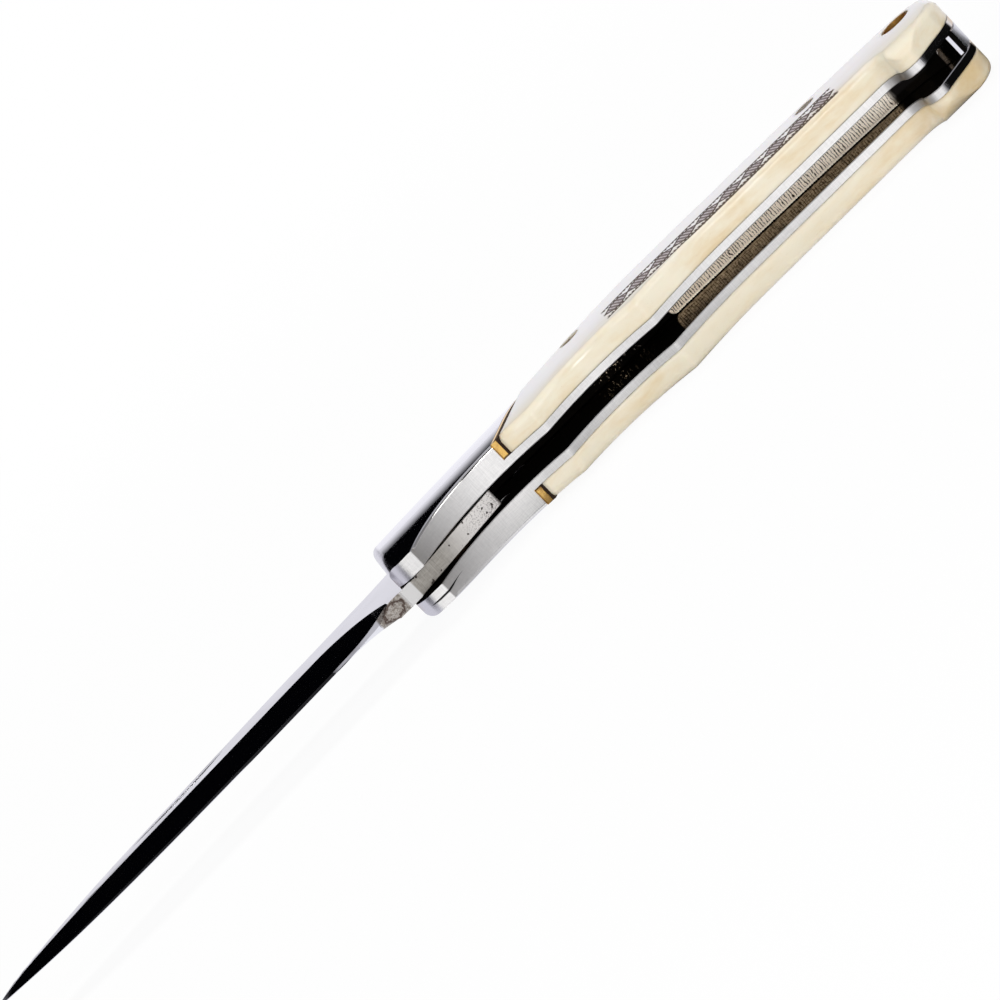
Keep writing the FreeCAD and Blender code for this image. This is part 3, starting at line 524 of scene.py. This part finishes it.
def brass_finish(metal):
    """Gold belly ends with painted shade at their edges, and polished faces level with the bolsters,
    painted dark as shade behind a thin gold front edge.
    """
    finish = Finish("brass")
    _, ny, nz = finish.facing()
    face = finish.step(0.7, 0.9, abs(nz))
    patch = finish.noise(finish.spot, (0.9, 0.9, 0.9), 4.0, 0.6)
    grain = finish.noise(finish.spot, (8.0, 8.0, 1.2), 2.0)
    dull = finish.step(0.42, 0.72, patch) * (1 - face)
    base = finish.mix(dull, tuple(metal.brass), DULL_BRASS)
    # Painted shade: darkened next to the liners, at the front end, and on the face behind a 0.6 mm
    # gold edge
    shaded_edges = 1 - finish.step(0.15, 0.4, abs(finish.z) - LINER_OUTSIDE)
    shaded_edges = finish.math("MAXIMUM", shaded_edges, 1 - finish.step(14.95, 15.15, finish.x))
    shaded_edges = shaded_edges * finish.step(0.5, 0.8, 0 - ny)
    start, slant, bend = STRIP_EDGE
    front = finish.y * slant - finish.y * finish.y * bend + start
    shaded_edges = finish.math("MAXIMUM", shaded_edges, face * finish.step(0.55, 0.65, finish.x - front))
    return finish.shade(
        shaded_edges * 0.9, BRASS_GAP_SHADE, Base_Color=base, Metallic=1.0,
        Roughness=dull * 0.16 - face * 0.16 + 0.22, Normal=finish.bump(grain * (1 - face), 0.006))


def fibre_finish(colours):
    """Pressed fibre with pale flecks."""
    finish = Finish("fibre")
    fleck = finish.noise(finish.spot, (3.0, 3.0, 14.0), 3.0, 0.6)
    base = finish.mix(finish.step(0.45, 0.75, fleck), tuple(colours.fibre),
                      tuple(c * 2.2 for c in colours.fibre))
    return finish.shade(
        Base_Color=base, Roughness=0.62, Specular_IOR_Level=0.1, Normal=finish.bump(fleck, 0.02))


def drawn_band(finish):
    """Strokes and tinted eyes of a braid between two fringed borders."""
    start, end, middle, half = 40.0, 86.0, 3.3, 3.2
    period, swing, pen = 9.2, 2.2, 0.36
    across = finish.y - middle
    wave = finish.math("SINE", (finish.x - start) * (2 * math.pi / period)) * swing
    shake = finish.noise(finish.spot, (3.0, 3.0, 0.1), 3.0, 0.6) - 0.5
    length = finish.between(start, end, 0.4, finish.x)

    def pen_line(offset, width):
        return 1 - finish.step(width * 0.5, width, abs(across - offset + shake * 0.3))

    marks = finish.math("MAXIMUM", pen_line(wave, pen * 1.6), pen_line(0 - wave, pen * 1.6))
    marks = finish.math("MAXIMUM", marks, pen_line(half, pen))
    marks = finish.math("MAXIMUM", marks, pen_line(-half, pen))
    stroke = finish.math("PINGPONG", finish.x + across * 0.25 + shake * 0.4, 0.35)
    stroke = finish.step(0.06, 0.16, stroke)
    eye = 1 - finish.step(0.75, 1.0, abs(across) / (abs(wave) + 0.01))
    fringe = finish.between(half - 0.9, half, 0.1, abs(across))
    hatching = stroke * finish.math("MAXIMUM", eye * 0.8, fringe)
    return finish.math("MAXIMUM", marks, hatching) * length, eye * length


def bone_finish(name, bone, with_band):
    """Polished bone: cream with tan patches, pores along the grain and a painted pale sheen on its
    faces.
    """
    finish = Finish(name)
    soft = finish.softened(1.2)
    _, _, nz = finish.facing(soft)
    patch = finish.noise(finish.spot, (0.055, 0.11, 0.16), 4.0, 0.6, 0.4)
    cloud = finish.noise(finish.spot, (0.22, 0.5, 0.5), 4.0, 0.6)
    pores = finish.noise(finish.spot, (0.7, 6.0, 6.0), 3.0, 0.6)
    toward_butt = finish.step(60.0, 104.0, finish.x)
    aged = finish.step(0.42, 0.78, patch * 0.75 + cloud * 0.25 + toward_butt * 0.08)
    base = finish.mix(aged, tuple(bone.cream), tuple(bone.tan))
    base = finish.mix(finish.step(0.62, 0.8, pores) * 0.28, base, tuple(c * 0.72 for c in bone.tan))
    # Painted sheen: the faces, away from the belly, are whitened to lavender-white as if mirroring a
    # white studio
    painted_sheen = finish.step(0.2, 0.99, abs(nz)) * finish.step(-3.5, 5.0, finish.y)
    base = finish.mix(painted_sheen * 0.8, base, SHEEN_WHITE_BONE)
    seam = 1 - finish.step(0.02, 0.2, abs(finish.z) - LINER_OUTSIDE)
    base = finish.mix(seam * (1 - finish.step(0.3, 0.6, abs(nz))), base, BONE_SEAM)
    ink = None
    if with_band:
        face = finish.step(0.6, 0.9, nz)
        marks, tint = drawn_band(finish)
        ink = marks * face * 0.9
        base = finish.mix(tint * face * 0.6, base, tuple(bone.wash))
    return finish.shade(
        ink, bone.ink, Base_Color=base, Roughness=cloud * 0.12 + 0.26,
        Coat_Weight=0.6, Coat_Roughness=0.12,
        Subsurface_Weight=0.12, Subsurface_Radius=(0.0012, 0.0008, 0.0004),
        Normal=finish.bump(pores, 0.004, soft))


class KNIFE_OT_blade(bpy.types.Operator):
    """Finish the blade"""

    bl_idname = "knife.blade"
    bl_label = "Blade"

    def execute(self, context):
        dress(blade_finish(context.scene.knife_steel), "blade")
        return {"FINISHED"}


class KNIFE_OT_bolsters(bpy.types.Operator):
    """Finish the bolsters and the pin through them"""

    bl_idname = "knife.bolsters"
    bl_label = "Bolsters"

    def execute(self, context):
        material = bolster_finish(context.scene.knife_steel)
        dress(material, "bolster_left", "bolster_right", "pivot_pin")
        steel = context.scene.knife_steel
        pins = plain_metal("blind_pin_steel", steel.dark, 0.5, (0.01, 0.009, 0.008))
        dress(pins, "bolster_pins_left", "bolster_pins_right")
        return {"FINISHED"}


class KNIFE_OT_liners(bpy.types.Operator):
    """Finish the two liners"""

    bl_idname = "knife.liners"
    bl_label = "Liners"

    def execute(self, context):
        dress(liner_finish(context.scene.knife_steel), "liner_left", "liner_right")
        return {"FINISHED"}


class KNIFE_OT_lock(bpy.types.Operator):
    """Finish the lock bar and its spring"""

    bl_idname = "knife.lock"
    bl_label = "Lock bar and spring"

    def execute(self, context):
        dress(lock_bar_finish(context.scene.knife_steel), "lock_bar")
        dress(spring_finish(context.scene.knife_steel), "lock_spring")
        return {"FINISHED"}


class KNIFE_OT_fittings(bpy.types.Operator):
    """Finish the spacers, washers, pins and lanyard tube"""

    bl_idname = "knife.fittings"
    bl_label = "Spacers, pins and tube"

    def execute(self, context):
        metal = context.scene.knife_brass
        dress(brass_finish(metal), "brass_strip_left", "brass_strip_right")
        tube = plain_metal("tube_brass", metal.brass, 0.3, (0.18, 0.09, 0.03))
        dress(tube, "lanyard_tube")
        pins = plain_metal("pin_metal", (0.62, 0.50, 0.33), 0.25, (0.45, 0.33, 0.2))
        dress(pins, "lock_pin", "spring_pin")
        # Painted shade: the washers are near-black
        washers = plain_metal("washer_bronze", metal.shaded_bronze, 0.45, (0.012, 0.008, 0.006))
        dress(washers, "pivot_washer_left", "pivot_washer_right")
        dress(fibre_finish(metal), "fibre_strip_left", "fibre_strip_right")
        return {"FINISHED"}


class KNIFE_OT_scales(bpy.types.Operator):
    """Finish the bone scales"""

    bl_idname = "knife.scales"
    bl_label = "Bone scales"

    def execute(self, context):
        bone = context.scene.knife_bone
        dress(bone_finish("bone_left", bone, True), "scale_left")
        dress(bone_finish("bone_right", bone, False), "scale_right")
        return {"FINISHED"}


def set_camera(stage):
    """Long lens, level with the belly, turned so that the handle rises to the right."""
    back = Vector((0.0, -math.cos(stage.elevation), math.sin(stage.elevation)))
    rise = Vector((0.0, math.sin(stage.elevation), math.cos(stage.elevation)))
    along = Vector((1.0, 0.0, 0.0))
    right = along * math.cos(stage.roll) - rise * math.sin(stage.roll)
    up = along * math.sin(stage.roll) + rise * math.cos(stage.roll)
    aim = PIVOT + Vector((stage.aim_along, 0.0, stage.aim_up))
    turn = Matrix((right, up, back)).transposed()
    bpy.ops.object.camera_add(
        location=aim + back * stage.camera_distance, rotation=turn.to_euler())
    camera = bpy.context.object
    camera.data.lens = camera.data.sensor_width * stage.camera_distance / stage.field_width
    camera.data.clip_start = 0.01
    bpy.context.scene.camera = camera


def set_lamp(name, place, aim, size, power, mirrored=True):
    """Square soft lamp that looks at aim, and shows in polished steel if mirrored."""
    turn = (Vector(place) - Vector(aim)).to_track_quat("Z", "Y").to_euler()
    bpy.ops.object.light_add(type="AREA", location=place, rotation=turn)
    lamp = bpy.context.object
    lamp.name = name
    lamp.data.shape = "SQUARE"
    lamp.data.size = size
    lamp.data.energy = power
    lamp.visible_glossy = mirrored


def set_world(stage):
    """White to the camera, even fill, and for reflections a pale band, zenith and sides."""
    world = bpy.data.worlds.new("studio")
    bpy.context.scene.world = world
    world.use_nodes = True
    sky = Nodes(world.node_tree)
    direction = sky.node("ShaderNodeTexCoord", {}, {}, "Generated")
    dx, dy, dz = sky.axes(direction)
    band = 1 - sky.step(0.188, 0.236, dz)
    band = sky.math("MAXIMUM", band, sky.step(0.45, 0.8, abs(dx)) * 0.5)
    band = sky.math("MAXIMUM", band, sky.step(0.62, 0.9, dz) * 0.6)
    behind = sky.step(-0.3, 0.3, dy) * 0.1 + 0.9
    mirrored = sky.ray("Is Glossy Ray") + sky.ray("Is Transmission Ray")
    seen = sky.ray("Is Camera Ray")
    pale = sky.mix(band * behind, (0.0005, 0.0005, 0.001), (0.95, 0.94, 1.0))
    colour = sky.mix(mirrored, (stage.fill,) * 3, pale)
    colour = sky.mix(seen, colour, (1.0, 1.0, 1.0))
    light = sky.node("ShaderNodeBackground", {}, {"Color": colour, "Strength": 1.0})
    sky.node("ShaderNodeOutputWorld", {}, {"Surface": light})


def dark_card(finish, x, y, half_length, half_width):
    """Soft-edged oval on the floor, which polished steel mirrors as black."""
    along = (finish.x - x) / half_length
    across = (finish.y - y) / half_width
    return 1 - finish.step(0.7, 1.2, along * along + across * across)


def floor_finish():
    """White sheet that keeps a soft shadow and falls dark in front for reflections."""
    finish = Finish("floor")
    seen = finish.ray("Is Camera Ray")
    mirrored = finish.ray("Is Glossy Ray")
    reach = finish.node("ShaderNodeVectorMath", {"operation": "LENGTH"}, {0: finish.spot}, "Value")
    away = finish.step(120.0, 420.0, reach)
    card = finish.node("ShaderNodeBsdfDiffuse", {}, {"Color": (0.9, 0.9, 0.9, 1.0)})
    glow = finish.node("ShaderNodeEmission", {}, {"Color": (1.0, 1.0, 1.0, 1.0)})
    paper = finish.node("ShaderNodeMixShader", {}, {0: seen * (away * 0.08 + 0.92), 1: card, 2: glow})
    dark = finish.math("MAXIMUM", dark_card(finish, 150.0, 0.0, 60.0, 30.0),
                       dark_card(finish, -22.0, -42.0, 14.0, 22.0))
    # The oval along the belly is the knife's own shadow on the floor, painted dark for reflections
    # only
    dark = finish.math("MAXIMUM", dark, dark_card(finish, 44.0, -8.0, 36.0, 7.0))
    tone = finish.mix(dark, (0.95, 0.95, 1.0), (0.004, 0.004, 0.004))
    reflected = finish.node("ShaderNodeEmission", {}, {"Color": tone})
    surface = finish.node("ShaderNodeMixShader", {}, {0: mirrored, 1: paper, 2: reflected})
    finish.node("ShaderNodeOutputMaterial", {}, {"Surface": surface})
    return finish.material


class KNIFE_OT_stage(bpy.types.Operator):
    """Set the floor, lamps, world and camera"""

    bl_idname = "knife.stage"
    bl_label = "Stage"

    def execute(self, context):
        stage = context.scene.knife_stage
        bpy.ops.object.select_all(action="DESELECT")
        bpy.ops.mesh.primitive_plane_add(size=12.0, location=(0.0, 0.0, CAD_BOX[0].z))
        floor = context.object
        floor.name = "floor"
        floor.data.materials.append(floor_finish())
        middle = (CAD_BOX[0] + CAD_BOX[1]) / 2
        set_lamp("lamp_left", (-0.75, -0.85, 0.45), middle, 0.6, stage.lamp)
        set_lamp("lamp_right", (0.75, -0.85, 0.5), middle, 0.6, stage.lamp)
        set_lamp("lamp_front", (0.05, -1.1, 0.24), middle, 0.25, stage.lamp * 0.6)
        set_lamp("lamp_over", (0.0, 0.25, 1.2), middle, 0.7, stage.lamp * 2.5, False)
        set_world(stage)
        set_camera(stage)
        context.scene.view_settings.view_transform = "Standard"
        return {"FINISHED"}


class KNIFE_PT_panel(bpy.types.Panel):
    """Lists the knife's operators"""

    bl_label = "Pocket Knife"
    bl_idname = "KNIFE_PT_panel"
    bl_space_type = "VIEW_3D"
    bl_region_type = "UI"
    bl_category = "Pocket Knife"

    def draw(self, context):
        for operator in OPERATORS:
            self.layout.operator(operator.bl_idname)


SETTINGS = {
    "knife_steel": SteelSettings,
    "knife_bone": BoneSettings,
    "knife_brass": BrassSettings,
    "knife_stage": StageSettings,
}
OPERATORS = (
    KNIFE_OT_blade, KNIFE_OT_bolsters, KNIFE_OT_liners, KNIFE_OT_lock,
    KNIFE_OT_fittings, KNIFE_OT_scales, KNIFE_OT_stage,
)
CLASSES = (*SETTINGS.values(), *OPERATORS, KNIFE_PT_panel)


def register():
    for kind in CLASSES:
        bpy.utils.register_class(kind)
    for name, kind in SETTINGS.items():
        setattr(bpy.types.Scene, name, bpy.props.PointerProperty(type=kind))


def unregister():
    for name in SETTINGS:
        delattr(bpy.types.Scene, name)
    for kind in reversed(CLASSES):
        bpy.utils.unregister_class(kind)


def main():
    register()
    bpy.ops.object.select_all(action="DESELECT")
    for operator in OPERATORS:
        group, name = operator.bl_idname.split(".")
        getattr(getattr(bpy.ops, group), name)()


if __name__ == "__main__":
    main()
